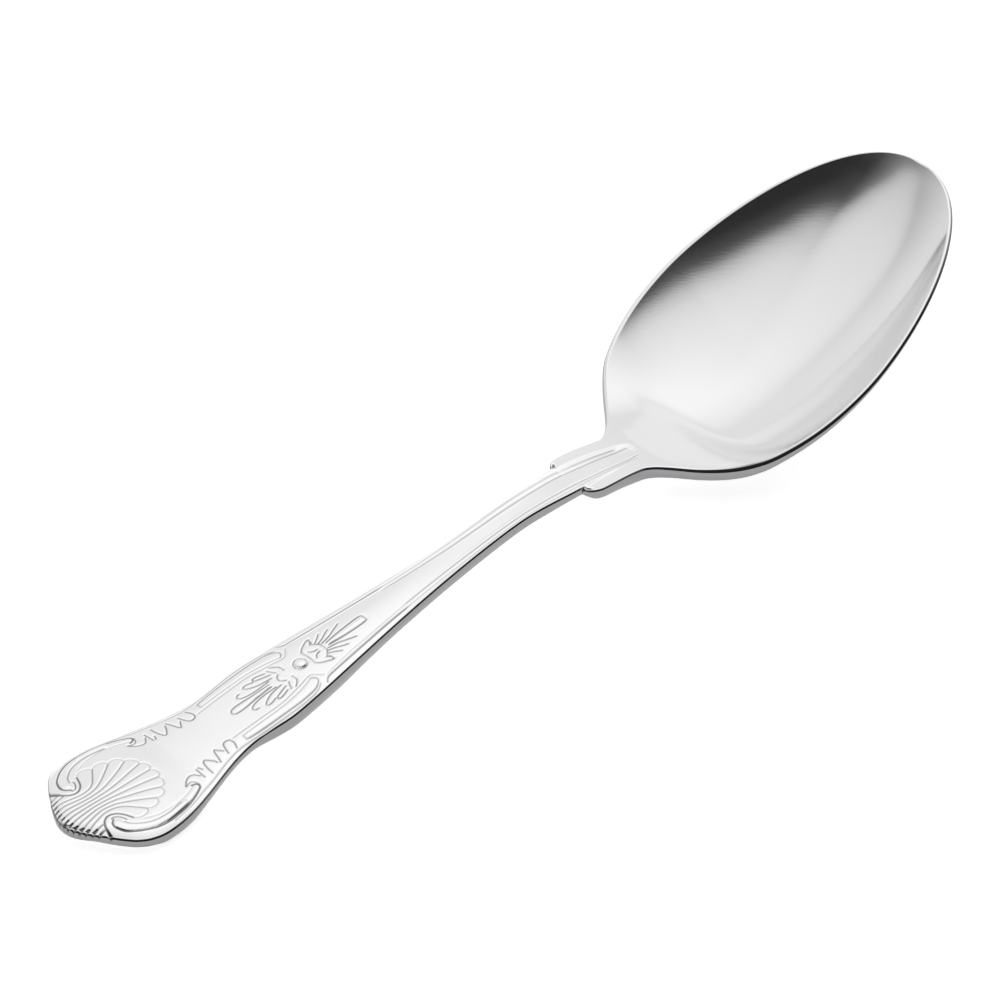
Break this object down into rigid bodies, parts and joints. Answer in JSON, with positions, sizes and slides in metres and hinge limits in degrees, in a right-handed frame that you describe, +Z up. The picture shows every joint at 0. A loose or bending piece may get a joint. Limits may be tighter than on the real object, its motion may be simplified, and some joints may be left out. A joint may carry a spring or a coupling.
{
  "type": "dessert spoon",
  "caption": "One-piece stainless dessert spoon: lobed handle end with a coined shell, scrolls and threaded border, slim stem, winged neck and deep egg-shaped bowl.",
  "frame": {"origin": "middle of the spoon's length and width, on the plane that it lies on", "axes": "+X from the end of the handle to the tip of the bowl, +Z up out of the hollow of the bowl, +Y across the bowl"},
  "size_m": [0.18, 0.042, 0.0279],
  "materials": {
    "stainless_steel": "mirror polished handle, finely brushed bowl"
  },
  "bodies": {
    "root": {"spoon": "stainless_steel"}
  },
  "joints": []
}
